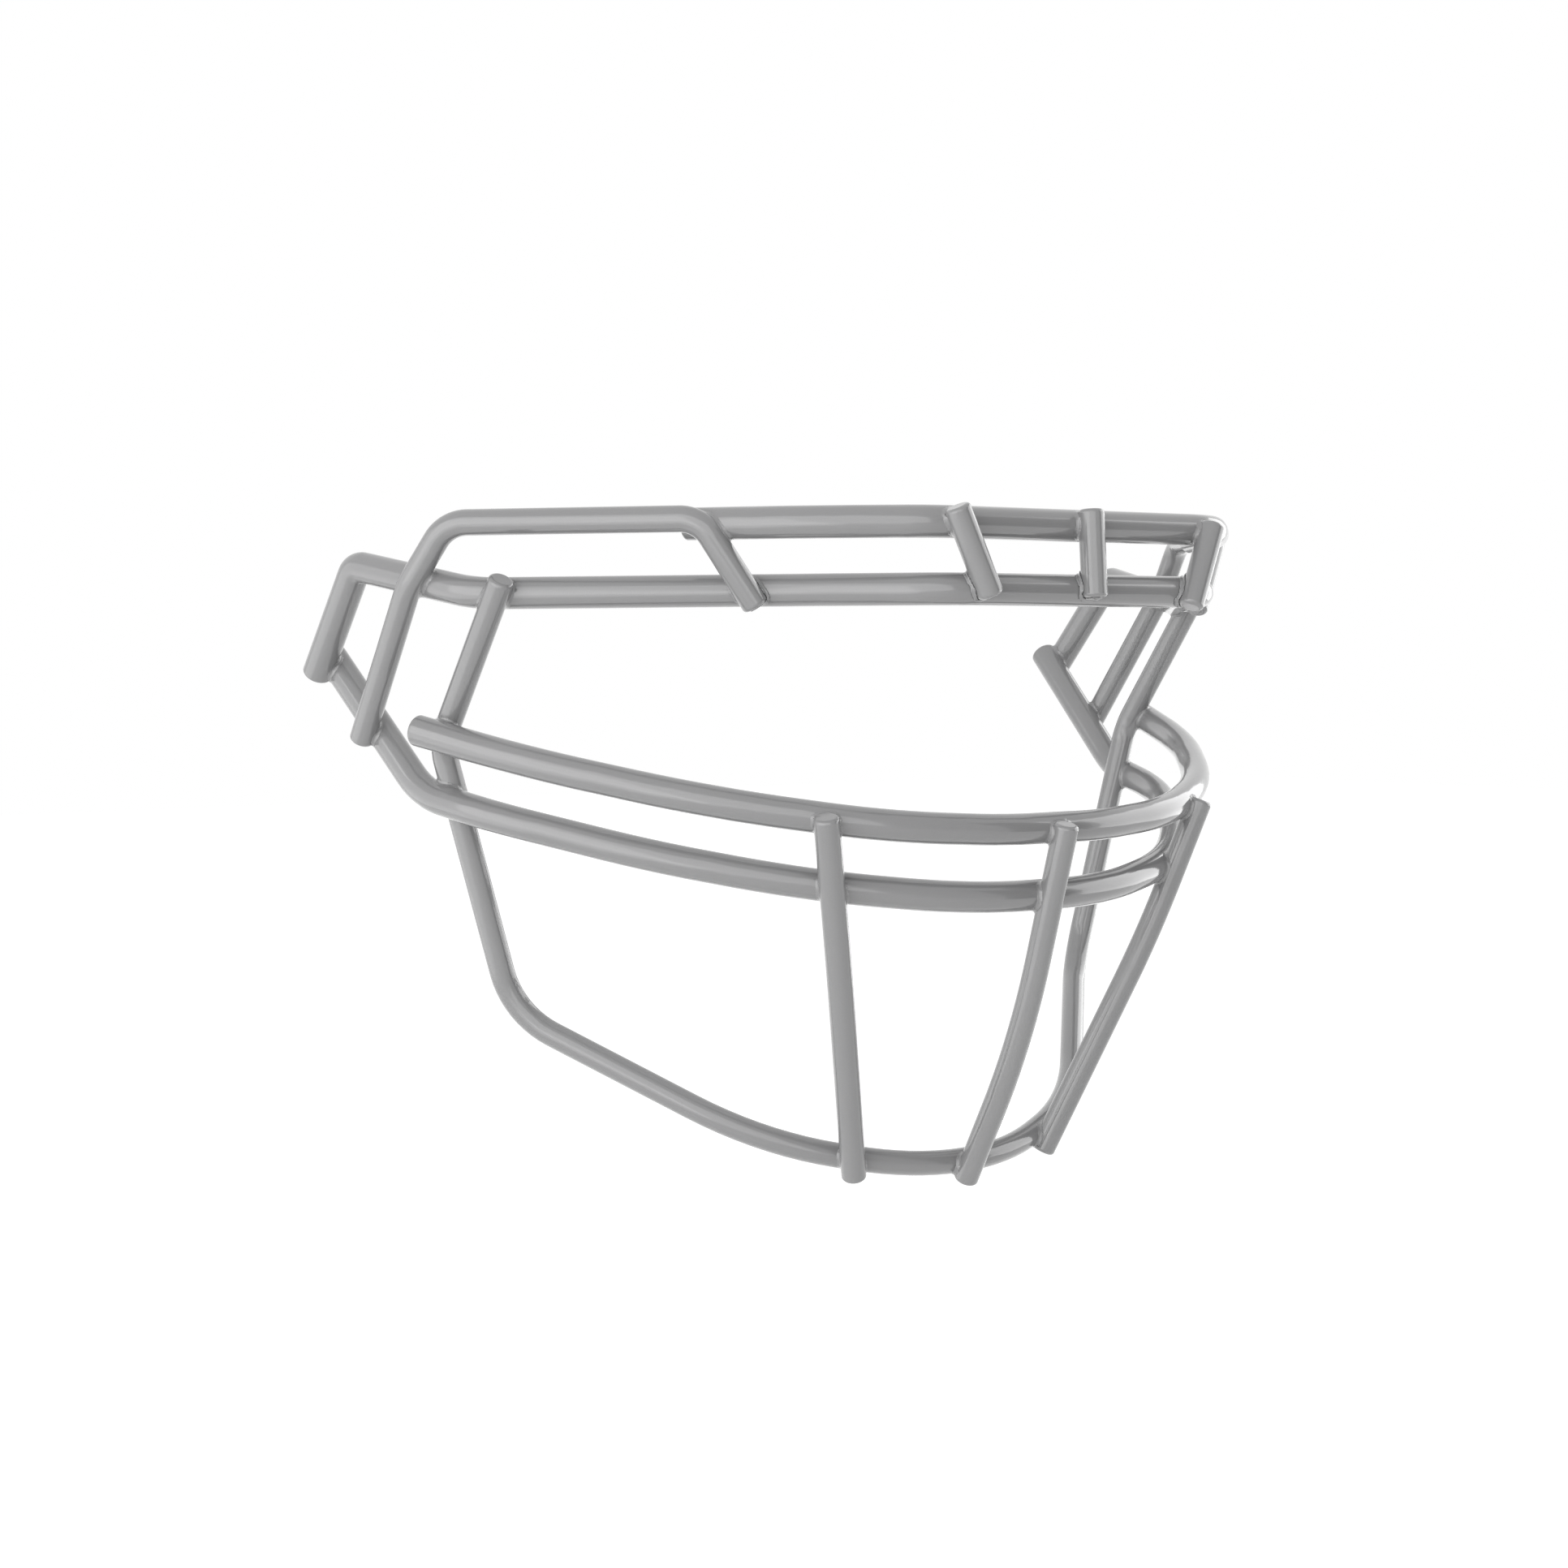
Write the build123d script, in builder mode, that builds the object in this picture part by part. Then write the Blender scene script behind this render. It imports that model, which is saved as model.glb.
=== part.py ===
from build123d import *
import os
from math import radians, tan

# Facemask for a football helmet: a cage of bent steel wires, resistance welded where they
# cross, then dipped in a polymer coat. Each wire is two pieces: its steel, and the coat on it.
# Millimetres. +X is the wearer's left, -Y is the front, +Z is up, and the origin is the middle
# of the cage's box. A half shape runs from the wearer's left end to the middle.

os.makedirs("parts", exist_ok=True)

# Wire stock: two gauges of steel rod, the coat on both, and the rounded rim of a cut end
heavy_steel = 6.35
light_steel = 5.08
coat = 0.35
end_round = 0.9
bend_room_share = 0.49

# How far two wires sink into each other at a weld, and at the welds beside the ears
weld_sink = 1.1
ear_weld_sink = 2.0

# Overall shape, on the middle of the wires: from the lower brow bar's front to its rear legs,
# and from the lower brow bar down to the bottom wire
side_reach = 117.2
depth = 132.4
drop = 131.3
front_y = -63.635
brow_z = 59.25

# Lower brow bar: side, back and down, as shares of the reach, the depth and the drop
lower_brow_shares = [(0.991, 1.000, 0.138), (1.000, 0.844, -0.049), (0.916, 0.584, 0.002),
                     (0.503, 0.206, 0.000), (0.326, 0.000, 0.000)]
lower_brow_bends = [4.1, 20.0, 120.0, 16.0]

# Upper brow bar: side and back, as shares of the reach and the depth
brow_gap = 14.2
upper_brow_shares = [(0.657, 0.311), (0.541, 0.154), (0.359, 0.007)]
upper_brow_bends = [150.0, 17.0]

# Lower frame wire: from outside the lower brow bar, down past the jaw and under the chin
frame_top_share = 0.650
frame_top_overhang = 5.3
frame_shares = [(0.905, 0.710, 0.254), (0.747, 0.712, 0.727), (0.406, 0.403, 0.944),
                (0.123, 0.305, 1.000)]
frame_bends = [13.0, 20.6, 74.0, 71.0]

# Mid bars: each lies in the plane from its own front up to its welds on the lower frame wire
upper_mid_drop = 52.5
upper_mid_weld_share = 0.8152
upper_mid_overhang = 4.3
upper_mid_shares = [(0.856, 0.503), (0.630, 0.265), (0.360, 0.115), (0.129, 0.070)]
upper_mid_bends = [119.0, 125.0, 100.0, 80.0]
lower_mid_drop = 67.7
lower_mid_weld_share = 0.7457
lower_mid_run = 5.4
lower_mid_shares = [(0.869, 0.589), (0.679, 0.370), (0.459, 0.203), (0.168, 0.099)]
lower_mid_bends = [22.0, 89.0, 115.0, 102.0, 77.0]
ear_weld_share = 0.986
ear_overhang = 2.5

# Side guards: from the lower mid bar's rear, over the lower brow bar, forward beside the ends
# of the upper brow bar, and down to the lower brow bar's front
guard_rear_share = 0.8705
guard_rear_overhang = 2.3
guard_low_share = 0.748
guard_shoulder_shares = (0.959, 0.6095)
guard_lift = 0.9
guard_nose_back = 5.2
guard_front_share = 0.379
guard_front_overhang = 1.4
guard_bends = [16.0, 9.6, 7.5]

# Brow struts: along the two brow bars, and past them
strut_top_share = 0.3896
strut_low_share = 0.148
strut_top_overhang = 3.2
strut_low_overhang = 1.9
left_strut_drop = 2.2

# Front bars: along the mid bars and the frame wire, and past them
front_upper_share = 0.3665
front_lower_share = 0.264
front_frame_share = 0.132
front_top_overhang = 2.3
front_low_overhang = 3.1
side_knee_share = 0.22
side_knee_push = 0.8
centre_knee_share = 0.47
centre_knee_push = 2.2
knee_bend = 300.0

# Worked out from the sizes above
light_on_heavy = (heavy_steel + light_steel) / 2 - weld_sink
light_on_light = light_steel - weld_sink
ear_light = (heavy_steel + light_steel) / 2 - ear_weld_sink
ear_heavy = heavy_steel - ear_weld_sink
head_y = front_y + depth


def place(side, back, down=0.0):
    """The point at these shares of the side reach, the depth and the drop."""
    return Vector(side * side_reach, front_y + back * depth, brow_z - down * drop)


def at_height(point, z):
    """The same point at another height."""
    return Vector(point.X, point.Y, z)


def both_sides(half):
    """A wire's corners from end to end, from those of its left half."""
    return half + [mirrored(corner) for corner in reversed(half)]


def mirrored(point):
    """The same point on the wearer's right."""
    return Vector(-point.X, point.Y, point.Z)


def centreline(corners, bends):
    """Straight runs joined by bends, none larger than the runs beside it leave room for."""
    radii = []
    for before, corner, after, bend in zip(corners, corners[1:], corners[2:], bends):
        turn = (corner - before).get_angle(after - corner)
        run = min((corner - before).length, (after - corner).length)
        radii.append(min(bend, bend_room_share * run / tan(radians(turn / 2))))
    with BuildLine() as line:
        if radii:
            FilletPolyline(*corners, radius=radii)
        else:
            Line(*corners)
    return line.wire()


def on(line, share):
    """The point at this share of the way from the middle of a wire to its left end."""
    return line @ ((1 - share) / 2)


def heading(line, share):
    """The wire's direction at that point."""
    return line % ((1 - share) / 2)


def lifted(point, one, other, gap):
    """The point moved away from the face, square to the two wires that cross at it."""
    out = one.cross(other).normalized()
    face = Vector(0, head_y, point.Z)
    return point + out * (gap if out.dot(point - face) > 0 else -gap)


def stretched(start, end, before, after):
    """The two ends of a straight wire that runs past both of its welds."""
    along = (end - start).normalized()
    return start - along * before, end + along * after


# Brow bars
lower_brow = both_sides([place(*shares) for shares in lower_brow_shares])
lower_brow_line = centreline(lower_brow, lower_brow_bends + lower_brow_bends[::-1])
upper_brow = both_sides([place(*s) + Vector(0, 0, brow_gap) for s in upper_brow_shares])
upper_brow_line = centreline(upper_brow, upper_brow_bends + upper_brow_bends[::-1])

# Lower frame wire, its top ends outside the lower brow bar
frame_half = [place(*shares) for shares in frame_shares]
frame_joint = on(lower_brow_line, frame_top_share)
frame_fall = frame_half[0] - frame_joint
frame_joint = lifted(frame_joint, heading(lower_brow_line, frame_top_share), frame_fall, light_on_heavy)
frame_top = frame_joint - frame_fall.normalized() * frame_top_overhang
frame = both_sides([frame_top] + frame_half)
frame_line = centreline(frame, frame_bends + frame_bends[::-1])


def mid_bar_half(shares, bar_drop, weld_share, gap, past):
    """A mid bar's corners, from past its weld on the frame wire to its front."""
    weld = on(frame_line, weld_share)
    front = place(*shares[-1])
    rise_share = (weld.Z - brow_z + bar_drop) / (weld.Y - front.Y)
    half = []
    for corner in [place(*share) for share in shares]:
        half.append(at_height(corner, brow_z - bar_drop + (corner.Y - front.Y) * rise_share))
    weld = lifted(weld, weld - half[0], heading(frame_line, weld_share), gap)
    return [stretched(half[0], weld, 0, past)[1]] + half


upper_mid = both_sides(mid_bar_half(upper_mid_shares, upper_mid_drop, upper_mid_weld_share,
                                    light_on_heavy, upper_mid_overhang))
upper_mid_line = centreline(upper_mid, upper_mid_bends + upper_mid_bends[::-1])

# The lower mid bar runs on, up and back, to the inner side of the lower brow bar's legs
lower_half = mid_bar_half(lower_mid_shares, lower_mid_drop, lower_mid_weld_share,
                          ear_light, lower_mid_run)
ear = on(lower_brow_line, ear_weld_share)
ear = lifted(ear, ear - lower_half[0], heading(lower_brow_line, ear_weld_share), -ear_heavy)
lower_mid = both_sides([stretched(lower_half[0], ear, 0, ear_overhang)[1]] + lower_half)
lower_mid_line = centreline(lower_mid, lower_mid_bends + lower_mid_bends[::-1])

# Side guards, outside all that they cross
guard_low = on(lower_brow_line, guard_low_share)
guard_rear = on(lower_mid_line, guard_rear_share)
guard_rise = guard_low - guard_rear
guard_low = lifted(guard_low, heading(lower_brow_line, guard_low_share), guard_rise, light_on_heavy)
guard_rear = lifted(guard_rear, heading(lower_mid_line, guard_rear_share), guard_rise, light_on_heavy)
guard_z = brow_z + brow_gap + guard_lift
guard_nose = stretched(upper_brow[1], upper_brow[0], 0, -guard_nose_back)[1]
guard_nose = lifted(guard_nose, upper_brow[0] - upper_brow[1], Vector(0, 0, 1), light_on_heavy)
guard_nose = at_height(guard_nose, guard_z)
guard_front = on(lower_brow_line, guard_front_share)
guard_front = lifted(guard_front, heading(lower_brow_line, guard_front_share), guard_nose - guard_front,
                     light_on_heavy)
guard = [
    stretched(guard_rear, guard_low, guard_rear_overhang, 0)[0],
    guard_low,
    at_height(place(*guard_shoulder_shares), guard_z),
    guard_nose,
    stretched(guard_nose, guard_front, 0, guard_front_overhang)[1],
]


def strut(top_share, low_share):
    """A straight strut across the fronts of the two brow bars."""
    top = on(upper_brow_line, top_share)
    low = on(lower_brow_line, low_share)
    down = low - top
    top = lifted(top, heading(upper_brow_line, top_share), down, light_on_heavy)
    low = lifted(low, heading(lower_brow_line, low_share), down, light_on_heavy)
    return stretched(top, low, strut_top_overhang, strut_low_overhang)


def front_bar(upper_share, lower_share, frame_share, knee_share, knee_push):
    """A bar down the fronts of the mid bars and the frame wire, bent a little at its knee."""
    upper = on(upper_mid_line, upper_share)
    lower = on(lower_mid_line, lower_share)
    foot = on(frame_line, frame_share)
    upper_lift = lifted(upper, heading(upper_mid_line, upper_share), lower - upper, light_on_heavy)
    lower_lift = lifted(lower, heading(lower_mid_line, lower_share), lower - upper, light_on_heavy)
    foot_lift = lifted(foot, heading(frame_line, frame_share), foot - lower, light_on_light)
    knee = stretched(upper_lift, lower_lift, 0, knee_share * (foot_lift - lower_lift).length)[1]
    knee = knee + Vector(0, knee_push, 0)
    top = stretched(upper_lift, knee, front_top_overhang, 0)[0]
    return [top, knee, stretched(knee, foot_lift, 0, front_low_overhang)[1]]


side_strut = strut(strut_top_share, strut_low_share)
slip = (side_strut[1] - side_strut[0]).normalized() * left_strut_drop
side_bar = front_bar(front_upper_share, front_lower_share, front_frame_share,
                     side_knee_share, side_knee_push)
centre_bar = front_bar(0, 0, 0, centre_knee_share, centre_knee_push)

# Every wire: its middle line, its gauge, the side of it where no weld comes, which takes the
# seam of its surface, and the wires that it is welded on top of
left = Vector(1, 0, 0)
front = Vector(0, -1, 0)
rear = Vector(0, 1, 0)
up = Vector(0, 0, 1)
guard_line = centreline(guard, guard_bends)
guard_right_line = centreline([mirrored(corner) for corner in guard], guard_bends)
strut_left_line = centreline([end + slip for end in side_strut], [])
strut_right_line = centreline([mirrored(end) for end in side_strut], [])
bar_right_line = centreline([mirrored(corner) for corner in side_bar], [knee_bend])
brow_bars = ["upper_brow_bar", "lower_brow_bar"]
front_rests = ["upper_mid_bar", "lower_mid_bar", "lower_frame_wire"]
guard_rests = ["upper_brow_bar", "lower_brow_bar", "lower_mid_bar"]
wires = {
    "upper_brow_bar": (upper_brow_line, heavy_steel, rear, []),
    "lower_mid_bar": (lower_mid_line, heavy_steel, up, ["lower_frame_wire"]),
    "lower_brow_bar": (lower_brow_line, heavy_steel, up, ["lower_mid_bar"]),
    "lower_frame_wire": (frame_line, light_steel, rear, ["lower_brow_bar"]),
    "upper_mid_bar": (upper_mid_line, heavy_steel, up, ["lower_frame_wire"]),
    "side_guard_left": (guard_line, light_steel, left, guard_rests),
    "side_guard_right": (guard_right_line, light_steel, -left, guard_rests),
    "brow_strut_left": (strut_left_line, light_steel, left, brow_bars),
    "brow_strut_centre": (centreline(strut(0, 0), []), light_steel, left, brow_bars),
    "brow_strut_right": (strut_right_line, light_steel, left, brow_bars),
    "front_bar_left": (centreline(side_bar, [knee_bend]), light_steel, front, front_rests),
    "front_bar_centre": (centreline(centre_bar, [knee_bend]), light_steel, front, front_rests),
    "front_bar_right": (bar_right_line, light_steel, front, front_rests),
}


def rod(line, thickness, seam, rim):
    """A round wire of one thickness along a line, its two cut ends rounded at the rim."""
    with BuildPart() as solid:
        with BuildSketch(Plane(origin=line @ 0, x_dir=seam, z_dir=line % 0)):
            Circle(thickness / 2)
        sweep(path=line)
        rims = solid.edges().filter_by(GeomType.CIRCLE)
        fillet([rims.sort_by_distance(line @ end)[0] for end in (0, 1)], radius=rim)
    return solid.part


# Whole wires, bare and dipped: the steel stops short of the dipped ends by the coat
bare = {}
dipped = {}
for name, (line, gauge, seam, rests) in wires.items():
    end_share = coat / line.length
    bare[name] = rod(line.trim(end_share, 1 - end_share), gauge, seam, end_round - coat)
    dipped[name] = rod(line, gauge + 2 * coat, seam, end_round)

# At a weld the upper wire is let into the lower one, and the coat stops where steel meets steel
for name, (line, gauge, seam, rests) in wires.items():
    on_top = [other for other in wires if name in wires[other][3]]
    with BuildPart() as core:
        add(bare[name])
        for other in rests:
            add(bare[other], mode=Mode.SUBTRACT)
    core.part.label = name + "_core"
    export_step(core.part, "parts/" + name + "_core.step")
    with BuildPart() as skin:
        add(dipped[name])
        for other in rests:
            add(dipped[other], mode=Mode.SUBTRACT)
        for other in on_top:
            add(bare[other], mode=Mode.SUBTRACT)
        add(bare[name], mode=Mode.SUBTRACT)
    skin.part.label = name + "_coat"
    export_step(skin.part, "parts/" + name + "_coat.step")
    volumes = round(core.part.volume), round(skin.part.volume)
    print(name, "length", round(line.length, 1), "steel and coat", *volumes)
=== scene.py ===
import math
import bpy, bmesh
from mathutils import Vector, Matrix
from mathutils.bvhtree import BVHTree


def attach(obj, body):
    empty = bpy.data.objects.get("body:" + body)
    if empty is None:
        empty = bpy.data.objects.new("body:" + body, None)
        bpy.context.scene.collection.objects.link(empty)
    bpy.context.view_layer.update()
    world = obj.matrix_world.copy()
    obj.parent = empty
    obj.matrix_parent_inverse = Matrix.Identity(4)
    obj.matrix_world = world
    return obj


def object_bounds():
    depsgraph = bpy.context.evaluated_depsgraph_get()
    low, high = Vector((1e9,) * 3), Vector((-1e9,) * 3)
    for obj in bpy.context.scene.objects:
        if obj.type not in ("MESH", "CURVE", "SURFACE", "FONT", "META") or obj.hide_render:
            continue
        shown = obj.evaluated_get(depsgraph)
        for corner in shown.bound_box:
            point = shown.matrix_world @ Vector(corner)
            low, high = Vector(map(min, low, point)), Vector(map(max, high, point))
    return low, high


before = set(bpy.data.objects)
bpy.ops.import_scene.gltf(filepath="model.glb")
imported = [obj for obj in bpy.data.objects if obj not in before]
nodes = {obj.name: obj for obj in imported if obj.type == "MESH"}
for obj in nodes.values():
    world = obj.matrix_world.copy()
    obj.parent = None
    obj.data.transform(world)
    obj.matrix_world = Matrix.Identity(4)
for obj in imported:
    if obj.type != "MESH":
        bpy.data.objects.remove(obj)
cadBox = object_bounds()
scene = bpy.context.scene
print("frame loaded:", len(nodes), "nodes")

wires = ["upper_brow_bar", "lower_brow_bar", "upper_mid_bar", "lower_mid_bar",
         "lower_frame_wire", "side_guard_left", "side_guard_right",
         "brow_strut_left", "brow_strut_centre", "brow_strut_right",
         "front_bar_left", "front_bar_centre", "front_bar_right"]


# helpers for writing node trees
class Link:
    # wraps one socket, so that shader maths reads as an expression
    def __init__(self, tree, socket):
        self.tree, self.socket = tree, socket

    def math(self, operation, first, second):
        return self.tree.node("ShaderNodeMath", {"operation": operation}, {0: first, 1: second})

    def __add__(self, other):
        return self.math("ADD", self, other)

    __radd__ = __add__

    def __mul__(self, other):
        return self.math("MULTIPLY", self, other)

    __rmul__ = __mul__

    def __sub__(self, other):
        return self.math("SUBTRACT", self, other)

    def __rsub__(self, other):
        return self.math("SUBTRACT", other, self)


class Tree:
    # a node tree with one call for every kind of node
    def __init__(self, owner):
        owner.use_nodes = True
        self.nodes, self.links = owner.node_tree.nodes, owner.node_tree.links
        self.nodes.clear()

    def node(self, kind, settings=None, sockets=None, out=0):
        made = self.nodes.new(kind)
        for name, value in (settings or {}).items():
            if name == "stops":
                ramp = made.color_ramp
                while len(ramp.elements) < len(value):
                    ramp.elements.new(0.5)
                for element, (place, shade) in zip(ramp.elements, value):
                    element.position = place
                    element.color = (*shade, 1)
            else:
                setattr(made, name, value)
        for name, value in (sockets or {}).items():
            if isinstance(value, Link):
                self.links.new(value.socket, made.inputs[name])
            else:
                made.inputs[name].default_value = value
        return Link(self, made.outputs[out]) if made.outputs else None


# the two finishes: the dipped coat and the bare wire under it
coatLook = {"grey": (0.228, 0.228, 0.23), "refraction": 1.5,
            "speckle": 0.16, "speckleScale": 5200.0, "clouding": 0.05, "cloudScale": 38.0,
            "gloss": 0.16, "glossSpread": 0.07, "speckleGlossShare": 0.6,
            "peelHeight": 0.000012, "peelScale": 900.0, "pitScale": 1500.0, "pitShare": 0.2, "peelStrength": 0.6,
            "topWeight": 0.6, "topGloss": 0.05}
steelLook = {"bright": (0.56, 0.555, 0.55), "dull": (0.40, 0.395, 0.39), "drawScale": 2600.0,
             "drawStretch": (0.05, 1.0, 1.0), "gloss": 0.25, "glossSpread": 0.2}


def noise(tree, place, scale, detail, roughness=0.5):
    sockets = {"Vector": place, "Scale": scale, "Detail": detail, "Roughness": roughness}
    return tree.node("ShaderNodeTexNoise", {}, sockets)


def dippedCoat(name, look):
    # polymer coat: one grey, faint clouding and speckle, orange peel in its gloss
    material = bpy.data.materials.new(name)
    tree = Tree(material)
    place = tree.node("ShaderNodeTexCoord", out=3)
    speckle = noise(tree, place, look["speckleScale"], 2.0, 0.7)
    clouds = noise(tree, place, look["cloudScale"], 3.0)
    peel = noise(tree, place, look["peelScale"], 1.5)
    pits = tree.node("ShaderNodeTexVoronoi", {}, {"Vector": place, "Scale": look["pitScale"]})
    light = 1 - look["speckle"] / 2 - look["clouding"] / 2 + speckle * look["speckle"] + clouds * look["clouding"]
    shade = tree.node("ShaderNodeVectorMath", {"operation": "SCALE"}, {0: look["grey"], "Scale": light})
    rough = (look["gloss"] + (clouds - 0.5) * look["glossSpread"]
             + (speckle - 0.5) * look["glossSpread"] * look["speckleGlossShare"])
    height = peel * (1 - look["pitShare"]) + pits * look["pitShare"]
    normal = tree.node("ShaderNodeBump", {}, {
        "Strength": look["peelStrength"], "Distance": look["peelHeight"], "Height": height})
    surface = tree.node("ShaderNodeBsdfPrincipled", {}, {
        "Base Color": shade, "Roughness": rough, "Normal": normal, "IOR": look["refraction"],
        "Coat Weight": look["topWeight"], "Coat Roughness": look["topGloss"], "Coat IOR": look["refraction"]})
    tree.node("ShaderNodeOutputMaterial", {}, {"Surface": surface})
    return material


def drawnSteel(name, look):
    # bare wire under the coat, with fine drawing lines
    material = bpy.data.materials.new(name)
    tree = Tree(material)
    place = tree.node("ShaderNodeTexCoord", out=3)
    stretched = tree.node("ShaderNodeMapping", {}, {"Vector": place, "Scale": look["drawStretch"]})
    lines = noise(tree, stretched, look["drawScale"], 3.0)
    stops = [(0.3, look["dull"]), (0.7, look["bright"])]
    shade = tree.node("ShaderNodeValToRGB", {"stops": stops}, {"Fac": lines})
    surface = tree.node("ShaderNodeBsdfPrincipled", {}, {
        "Base Color": shade, "Metallic": 1.0, "Roughness": look["gloss"] + lines * look["glossSpread"]})
    tree.node("ShaderNodeOutputMaterial", {}, {"Surface": surface})
    return material


coatMaterial = dippedCoat("greyDippedCoat", coatLook)
steelMaterial = drawnSteel("drawnSteel", steelLook)
shading = {"joinWithin": 0.000002, "crispOver": 32.0}
for name, node in nodes.items():
    node.data.materials.clear()
    node.data.materials.append(coatMaterial if name.endswith("_coat") else steelMaterial)
    node.data.shade_smooth()
    welded = node.modifiers.new("joinFaces", "WELD")
    welded.merge_threshold = shading["joinWithin"]
    crisp = node.modifiers.new("crispEdges", "EDGE_SPLIT")
    crisp.split_angle = math.radians(shading["crispOver"])
    even = node.modifiers.new("evenShading", "WEIGHTED_NORMAL")
    even.keep_sharp = True
print("finishes made")

# the coat runs into a small fillet round each weld
filletLook = {"grain": 0.0003, "flow": 28, "flowFactor": 0.5, "sunk": 0.00002, "leastPoints": 400,
              "skin": 0.0003, "middleReach": 0.002}


def surfaceOf(meshes):
    # one shape of several meshes with their doubles merged, and a tree that finds its nearest point
    shape = bmesh.new()
    for mesh in meshes:
        shape.from_mesh(mesh)
    bmesh.ops.remove_doubles(shape, verts=shape.verts, dist=shading["joinWithin"])
    return shape, BVHTree.FromBMesh(shape)


def flowedCage(cage, look):
    # the whole cage as one dipped skin, run smooth in the corners between its wires
    mesh = bpy.data.meshes.new("cage")
    cage.to_mesh(mesh)
    body = bpy.data.objects.new("cage", mesh)
    scene.collection.objects.link(body)
    grain = body.modifiers.new("grain", "REMESH")
    grain.mode, grain.voxel_size = "VOXEL", look["grain"]
    flow = body.modifiers.new("flow", "SMOOTH")
    flow.factor, flow.iterations = look["flowFactor"], look["flow"]
    flowed = bmesh.new()
    shown = body.evaluated_get(bpy.context.evaluated_depsgraph_get())
    flowed.from_mesh(bpy.data.meshes.new_from_object(shown))
    bpy.data.objects.remove(body)
    return flowed


def standingProud(look):
    # what of the run skin stands proud of the wires: a band in the corner round each weld
    cage, surface = surfaceOf([node.data for node in nodes.values()])
    bands = flowedCage(cage, look)
    hidden = []
    for vert in bands.verts:
        near, normal = surface.find_nearest(vert.co)[:2]
        if (vert.co - near).dot(normal) < -look["sunk"]:
            hidden.append(vert)
    bmesh.ops.delete(bands, geom=hidden, context="VERTS")
    loose = [vert for vert in bands.verts if not vert.link_faces]
    bmesh.ops.delete(bands, geom=loose, context="VERTS")
    return bands


def islandsOf(shape):
    # groups of vertices that hang together
    left = set(shape.verts)
    while left:
        group, edge = set(), [left.pop()]
        while edge:
            vert = edge.pop()
            group.add(vert)
            for link in vert.link_edges:
                other = link.other_vert(vert)
                if other in left:
                    left.discard(other)
                    edge.append(other)
        yield group


def makeFillet(name, bands, kept, look):
    # the bands of one weld, given a skin that closes them
    shape = bands.copy()
    others = [vert for vert in shape.verts if vert.index not in kept]
    bmesh.ops.delete(shape, geom=others, context="VERTS")
    bmesh.ops.recalc_face_normals(shape, faces=shape.faces)
    bmesh.ops.solidify(shape, geom=shape.faces, thickness=look["skin"])
    mesh = bpy.data.meshes.new(name)
    shape.to_mesh(mesh)
    shape.free()
    mesh.materials.append(coatMaterial)
    mesh.shade_smooth()
    fillet = bpy.data.objects.new(name, mesh)
    scene.collection.objects.link(fillet)
    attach(fillet, "root")


def weldName(middle, surfaces, reach):
    # a weld is named after the two wires nearest to it and its side of the mask
    pair = sorted(sorted(surfaces, key=lambda name: surfaces[name].find_nearest(middle)[3])[:2])
    side = "left" if middle.x > reach else "right" if middle.x < -reach else "middle"
    return "_".join(["weld_fillet", *pair, side])


wireSurfaces = {name: surfaceOf([nodes[name + "_coat"].data])[1] for name in wires}
bands = standingProud(filletLook)
bands.verts.index_update()
welds = {}
for group in islandsOf(bands):
    if len(group) >= filletLook["leastPoints"]:
        middle = sum((vert.co for vert in group), Vector()) / len(group)
        name = weldName(middle, wireSurfaces, filletLook["middleReach"])
        welds.setdefault(name, set()).update(vert.index for vert in group)
for name in sorted(welds):
    makeFillet(name, bands, welds[name], filletLook)
bands.free()
print("welds with fillets:", len(welds))

# a pale studio: a floor well below the held mask, soft lamps, and panels that only its gloss shows
studio = {"floorSize": 12, "floorDrop": 0.25, "floorShade": 0.85, "floorGlow": 0.6, "domeFill": 0.62,
          # name, azimuth, tilt, distance, width, height, brightness
          "softLamps": [("leftLamp", -165, 10, 1.6, 1.6, 1.4, 2.6),
                        ("topLamp", -60, 70, 1.6, 1.4, 1.4, 0.8)],
          "glossPanels": [("leftPanel", -150, -8, 1.5, 3.9, 3.2, 1.35),
                          ("lowPanel", 170, -28, 0.66, 1.5, 1.9, 0.9),
                          ("rightPanel", -10, 2, 1.5, 1.7, 2.1, 1.9)],
          "darkPanels": [("frontFlag", -52, 8, 1.45, 0.45, 1.7, 0.3)]}


def standAt(thing, azimuth, tilt, away):
    # place it around the mask, facing the mask
    around, above = math.radians(azimuth), math.radians(tilt)
    level = math.cos(above)
    towards = Vector((math.cos(around) * level, math.sin(around) * level, math.sin(above)))
    thing.location = towards * away
    thing.rotation_euler = towards.to_track_quat("Z", "Y").to_euler()
    scene.collection.objects.link(thing)


def makeLamp(name, azimuth, tilt, away, width, height, brightness, inGloss, inDiffuse):
    lamp = bpy.data.lights.new(name, "AREA")
    lamp.shape, lamp.size, lamp.size_y = "RECTANGLE", width, height
    lamp.energy = brightness * math.pi * width * height
    stand = bpy.data.objects.new(name, lamp)
    stand.visible_glossy, stand.visible_diffuse = inGloss, inDiffuse
    standAt(stand, azimuth, tilt, away)


def makeSheet(name, width, height, material):
    mesh = bpy.data.meshes.new(name)
    shape = bmesh.new()
    bmesh.ops.create_grid(shape, x_segments=1, y_segments=1, size=0.5)
    bmesh.ops.scale(shape, verts=shape.verts, vec=(width, height, 1))
    shape.to_mesh(mesh)
    shape.free()
    mesh.materials.append(material)
    sheet = bpy.data.objects.new(name, mesh)
    return sheet


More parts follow.
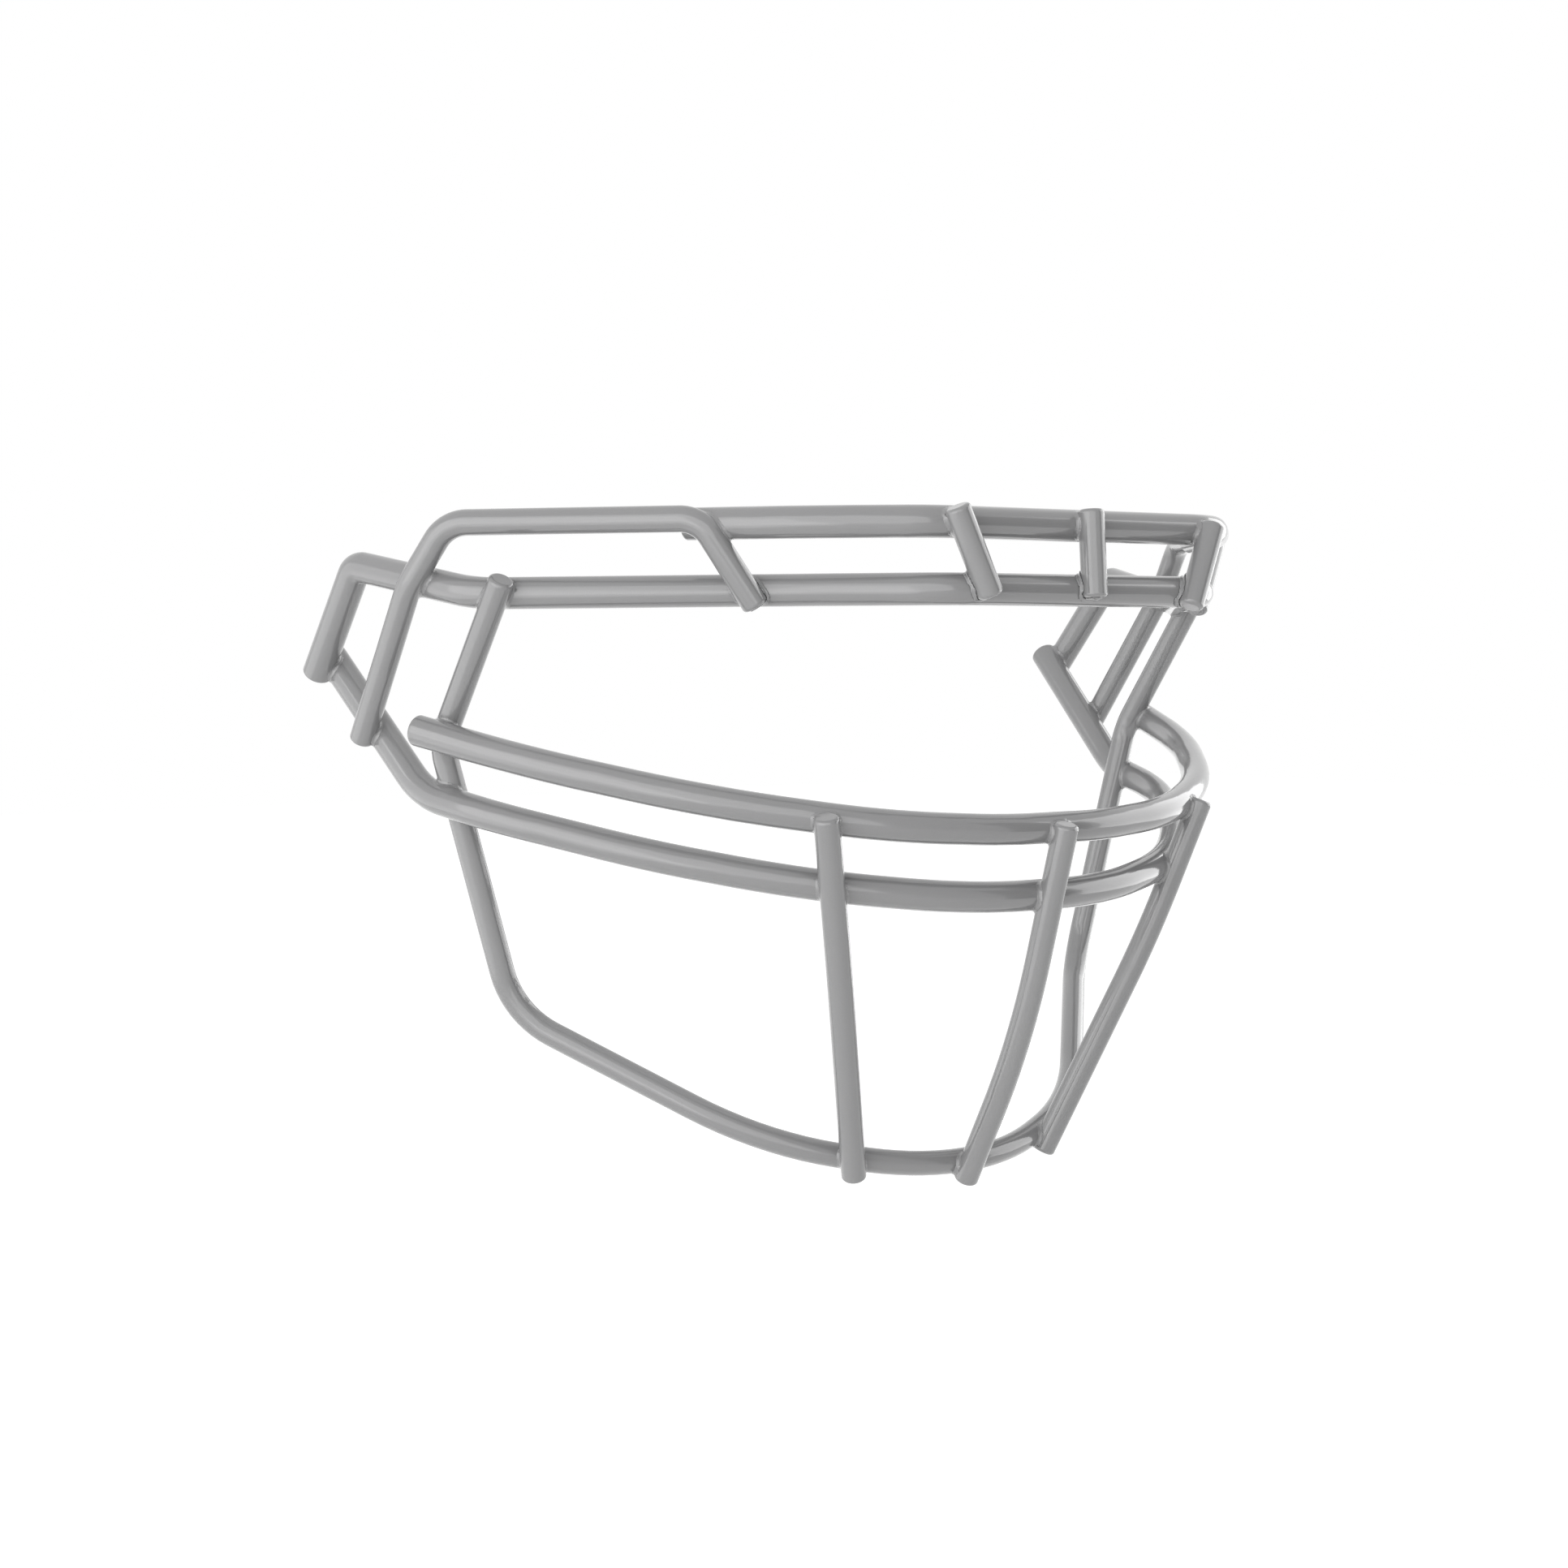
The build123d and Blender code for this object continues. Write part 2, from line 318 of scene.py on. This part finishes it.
def flagMaterial(name, brightness):
    material = bpy.data.materials.new(name)
    tree = Tree(material)
    glow = tree.node("ShaderNodeEmission", {}, {"Color": (1, 1, 1, 1), "Strength": brightness})
    tree.node("ShaderNodeOutputMaterial", {}, {"Surface": glow})
    return material


def floorMaterial(look):
    material = bpy.data.materials.new("paleFloor")
    tree = Tree(material)
    paths = tree.node("ShaderNodeLightPath").socket.node.outputs
    shown = Link(tree, paths["Is Camera Ray"]) + Link(tree, paths["Is Glossy Ray"])
    paint = tree.node("ShaderNodeBsdfDiffuse", {}, {"Color": (look["floorShade"],) * 3 + (1,)})
    glow = tree.node("ShaderNodeEmission", {}, {"Color": (1, 1, 1, 1), "Strength": shown * look["floorGlow"]})
    surface = tree.node("ShaderNodeAddShader", {}, {0: paint, 1: glow})
    tree.node("ShaderNodeOutputMaterial", {}, {"Surface": surface})
    return material


def makeDome(look):
    world = bpy.data.worlds.new("paleDome")
    scene.world = world
    tree = Tree(world)
    paths = tree.node("ShaderNodeLightPath").socket.node.outputs
    shown = (Link(tree, paths["Is Camera Ray"]) + Link(tree, paths["Is Glossy Ray"])
             + Link(tree, paths["Is Transmission Ray"]))
    strength = look["domeFill"] + shown * (1 - look["domeFill"])
    back = tree.node("ShaderNodeBackground", {}, {"Color": (1, 1, 1, 1), "Strength": strength})
    tree.node("ShaderNodeOutputWorld", {}, {"Surface": back})


floor = makeSheet("studioFloor", studio["floorSize"], studio["floorSize"], floorMaterial(studio))
floor.location.z = cadBox[0][2] - studio["floorDrop"]
scene.collection.objects.link(floor)
makeDome(studio)
for lamp in studio["softLamps"]:
    makeLamp(*lamp, False, True)
for panel in studio["glossPanels"]:
    makeLamp(*panel, True, False)
for name, azimuth, tilt, away, width, height, brightness in studio["darkPanels"]:
    flag = makeSheet(name, width, height, flagMaterial(name, brightness))
    flag.visible_camera = flag.visible_diffuse = flag.visible_shadow = flag.visible_transmission = False
    standAt(flag, azimuth, tilt, away)
print("studio lit")

# the camera, where the photograph was taken from
lens = {"place": (-0.4435, -0.53054, 0.04555), "azimuth": -37.73, "elevation": 2.55, "roll": -0.2,
        "focal": 66.93, "sensor": 36.0, "near": 0.01, "far": 50.0}


def makeCamera(look):
    camera = bpy.data.cameras.new("photoCamera")
    camera.lens, camera.sensor_width, camera.sensor_fit = look["focal"], look["sensor"], "HORIZONTAL"
    camera.clip_start, camera.clip_end = look["near"], look["far"]
    body = bpy.data.objects.new("photoCamera", camera)
    around, above = math.radians(look["azimuth"]), math.radians(look["elevation"])
    turn = (Matrix.Rotation(around, 4, "Z") @ Matrix.Rotation(math.pi / 2 - above, 4, "X")
            @ Matrix.Rotation(math.radians(look["roll"]), 4, "Z"))
    body.matrix_world = Matrix.Translation(look["place"]) @ turn
    scene.collection.objects.link(body)
    scene.camera = body


makeCamera(lens)
scene.view_settings.view_transform = "Standard"
print("scene ready")
